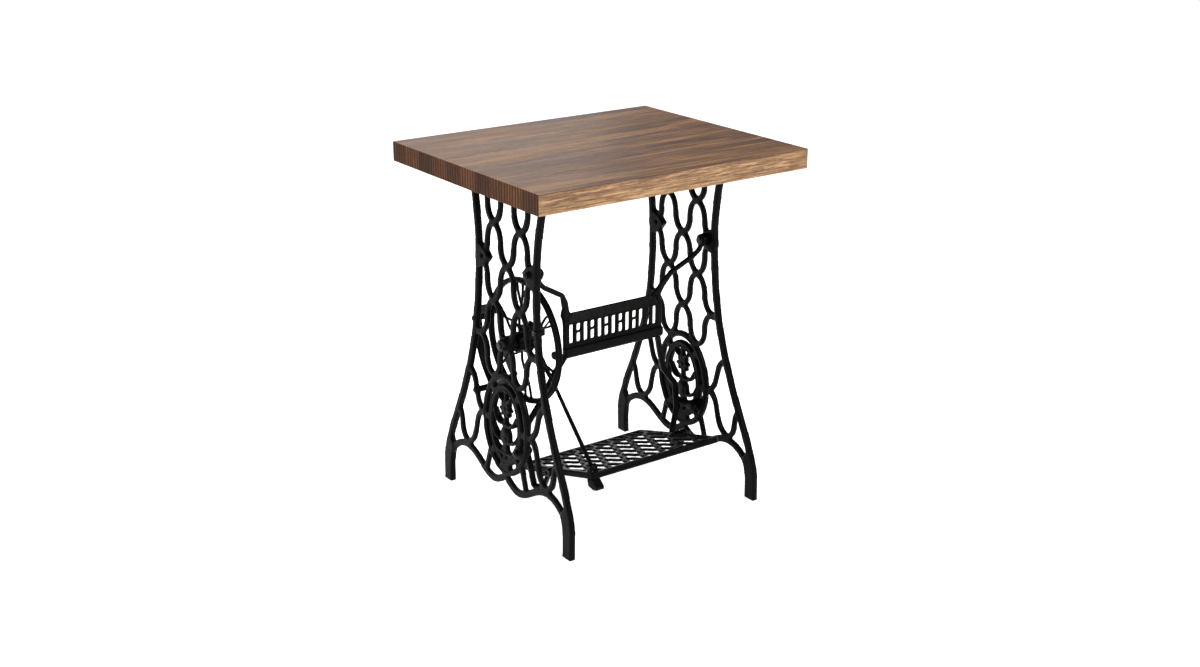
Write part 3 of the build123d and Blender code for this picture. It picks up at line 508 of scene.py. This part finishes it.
def bead(bm, points, radius, closed=False):
    """Rounded bead, half sunk in its face, along points; radius may be a list, one for each."""
    sides = 8
    count = len(points)
    rings = []
    for k, p in enumerate(points):
        before = points[(k - 1) % count] if closed or k else p
        after = points[(k + 1) % count] if closed or k < count - 1 else p
        along = (after - before).normalized()
        side = along.cross(Vector((1, 0, 0))).normalized()
        out = side.cross(along).normalized()
        r = radius[k] if isinstance(radius, list) else radius
        ring = []
        for j in range(sides):
            a = 2 * math.pi * j / sides
            ring.append(bm.verts.new(p + (side * math.cos(a) + out * math.sin(a) * 0.8) * r * MM))
        rings.append(ring)
    join_rings(bm, rings + rings[:1] if closed else rings)
    if not closed:
        bm.faces.new(list(reversed(rings[0])))
        bm.faces.new(rings[-1])


def dome(bm, centre, out, radius, height, sides=20):
    """Low rounded boss standing on a face."""
    up = Vector((0, 0, 1)) if abs(out.z) < 0.9 else Vector((0, 1, 0))
    u = out.cross(up).normalized()
    v = u.cross(out).normalized()
    rings = []
    for step in range(5):
        a = math.radians(18 * step + 4)
        r, h = radius * math.cos(a), height * math.sin(a) - 0.4
        ring = []
        for j in range(sides):
            t = 2 * math.pi * j / sides
            spoke = u * math.cos(t) + v * math.sin(t)
            ring.append(bm.verts.new(centre + spoke * r * MM + out * h * MM))
        rings.append(ring)
    join_rings(bm, rings)
    bm.faces.new(rings[-1])
    bm.faces.new(list(reversed(rings[0])))


def oval_beads(bm, side, x):
    for half_y, half_z, radius in OVAL_BEADS:
        loop = []
        for k in range(OVAL_STEPS):
            a = 2 * math.pi * k / OVAL_STEPS
            loop.append(frame_point(side, x, half_y * math.cos(a), MEDAL_Z + half_z * math.sin(a)))
        bead(bm, loop, radius, closed=True)


def rosette(bm, side, x, out):
    """A boss with a ring of petals round it."""
    rise = MEDAL_Z + ROSETTE_RISE
    dome(bm, frame_point(side, x, 0, rise), out, 6.5, 2.6)
    for k in range(PETALS):
        a = 2 * math.pi * k / PETALS
        petal = frame_point(side, x, PETAL_RING * math.cos(a), rise + PETAL_RING * math.sin(a))
        dome(bm, petal, out, 3.8, 1.6, 14)


def urn(bm, side, x, out):
    """Two bosses for the bowl, and a bar at the lip and at the foot."""
    for z, radius in URN_BOSSES:
        dome(bm, frame_point(side, x, 0, MEDAL_Z + z), out, radius, 3.0, 28)
    swell = [1.0 + 1.4 * math.sin(math.pi * (0.1 + 0.1 * k)) for k in range(LINE_STEPS)]
    for z, half in URN_BARS:
        bar = [frame_point(side, x, y, MEDAL_Z + z) for y in np.linspace(-half, half, LINE_STEPS)]
        bead(bm, bar, swell)


def leaf(bm, side, x, turn, root, bend, tip, width):
    """Bead along a curve from root through bend to tip, widest near the middle."""
    line, sizes = [], []
    for k in range(LINE_STEPS):
        t = k / (LINE_STEPS - 1)
        y, z = ((1 - t) * (1 - 2 * t) * np.array(root) + 4 * t * (1 - t) * np.array(bend)
                + t * (2 * t - 1) * np.array(tip))
        line.append(frame_point(side, x, turn * y, MEDAL_Z + z))
        sizes.append(0.6 + 0.42 * width * math.sin(math.pi * (0.08 + 0.84 * t)))
    bead(bm, line, sizes)


def medallion_relief(side, material):
    """Beads on the oval rings, a rosette, an urn and leaves, on both faces of a medallion."""
    bm = bmesh.new()
    for face in (-1, 1):
        x = face * MEDAL_FACE
        out = (frame_point(side, face, 0, 0) - frame_point(side, 0, 0, 0)).normalized()
        oval_beads(bm, side, x)
        rosette(bm, side, x, out)
        urn(bm, side, x, out)
        for turn in (-1, 1):
            for shape in LEAVES:
                leaf(bm, side, x, turn, *shape)
    bmesh.ops.recalc_face_normals(bm, faces=bm.faces)
    name = "medallion_relief_" + ("wheel_side" if side > 0 else "far_side")
    mesh = mesh_from(bm, name)
    smooth(mesh)
    made = new_object(name, mesh, "stand", material)


# ---- build ----------------------------------------------------------------
CASTINGS = (                       # piece, node, voxel size, rounds of smoothing, push outward
    ("end_frame_wheel_side_cast", "end_frame_wheel_side", 1.9, 3, 0.5),
    ("end_frame_far_side_cast", "end_frame_far_side", 1.9, 3, 0.5),
    ("cross_brace_cast", "cross_brace", 1.5, 3, 0.3),
    ("band_wheel_cast", "band_wheel", 1.5, 2, 0.2),
    ("dress_guard_cast", "dress_guard", 1.1, 2, 0.15),
    ("treadle_cast", "treadle_plate", 1.6, 2, 0.75),
    ("pitman_bracket_cast", "pitman_bracket", 0.6, 2, 0.1),
    ("bracket_foot_cast", "bracket_foot", 0.7, 2, 0.1),
    ("pitman_cap_cast", "pitman_cap", 0.6, 2, 0.05),
    ("shifter_bracket_cast", "belt_shifter_bracket", 0.6, 2, 0.1))
for row in CASTINGS:
    casting(*row)

steel = dark_steel("blackened_steel", 2, (0.012, 0.0115, 0.011))
oiled = dark_steel("oiled_steel", 5, (0.026, 0.025, 0.023))
enamel = cast_iron("black_enamel", 6, 0.4)
brass = dull_brass("bearing_brass", 4)
for node in ("top_screws", "brace_bolts", "brace_washers", "brace_nuts", "stud_lock_washer",
             "stud_lock_nut", "guard_screws", "treadle_pivot_screws", "treadle_pivot_nuts",
             "bracket_bolt", "pitman_cap_screws", "pitman_end_nut", "belt_shifter_screw"):
    fitting(node + "_steel", node, steel)
for node in ("wheel_stud", "thrust_washer", "crank_pin", "pitman_lower_pin", "belt_shifter_pin"):
    fitting(node + "_steel", node, oiled, 0.3)
for node in ("pitman_rod", "belt_shifter_lever", "belt_shifter_knob"):
    fitting(node + "_black", node, enamel, 0.4)
for node in ("wheel_bush", "pitman_bush"):
    fitting(node + "_brass", node, brass, 0.25)

wooden_top()
for side in (-1, 1):
    medallion_relief(side, cast_iron(f"medallion_iron_{side + 2}", 11 + side))


# ---- floor, light and camera ----------------------------------------------
FLOOR_HALF = 60.0                  # metres
LAMPS = (                          # name, place, size, power, colour
    ("key", (-1.2, 2.9, 2.4), 1.2, 105, (1.0, 0.985, 0.96)),
    ("fill", (2.9, 0.6, 1.7), 1.6, 20, (0.98, 0.99, 1.0)),
    ("over", (0.2, -0.3, 3.2), 1.5, 95, (1.0, 1.0, 1.0)),
    ("sheen", (-1.55, -3.6, 2.15), 1.9, 12, (1.0, 1.0, 1.0)))
LAMP_TARGET = Vector((0, 0, 0.4))
CAMERA_PLACE = (1.7589, 2.4773, 1.4261)
CAMERA_AIM = Vector((-0.5467, -0.7682, -0.3333))    # the way it looks
CAMERA_LENS = 46.63


def pale_floor():
    bm = bmesh.new()
    bmesh.ops.create_grid(bm, x_segments=8, y_segments=8, size=FLOOR_HALF)
    mesh = mesh_from(bm, "floor")
    floor = link_object("floor", mesh)
    n = Nodes("floor_paint")
    cloud = n.noise(n.place, 1.5, 2)
    colour = n.ramp(cloud, (0.2, (0.90, 0.90, 0.90)), (0.8, (0.93, 0.93, 0.93)))
    mesh.materials.append(n.finish(Base_Color=colour, Roughness=0.9, Specular_IOR_Level=0.1,
                                   Emission_Color=(1.0, 1.0, 1.0), Emission_Strength=0.72))


def soft_world():
    world = bpy.data.worlds.new("studio")
    bpy.context.scene.world = world
    world.use_nodes = True
    back = world.node_tree.nodes["Background"]
    back.inputs["Color"].default_value = (1.0, 1.0, 1.0, 1)
    back.inputs["Strength"].default_value = 0.33


def area_lamp(name, place, size, power, colour):
    light = bpy.data.lights.new(name, "AREA")
    light.energy = power
    light.size = size
    light.color = colour
    lamp = link_object(name, light)
    lamp.location = place
    lamp.rotation_euler = (LAMP_TARGET - Vector(place)).to_track_quat("-Z", "Y").to_euler()


def photo_camera():
    """Camera at the photograph's angle."""
    data = bpy.data.cameras.new("camera")
    camera = link_object("camera", data)
    camera.location = CAMERA_PLACE
    camera.rotation_euler = CAMERA_AIM.to_track_quat("-Z", "Y").to_euler()
    data.sensor_width = 36.0
    data.lens = CAMERA_LENS
    bpy.context.scene.camera = camera


pale_floor()
soft_world()
for lamp_row in LAMPS:
    area_lamp(*lamp_row)
photo_camera()
bpy.context.scene.view_settings.view_transform = "Standard"
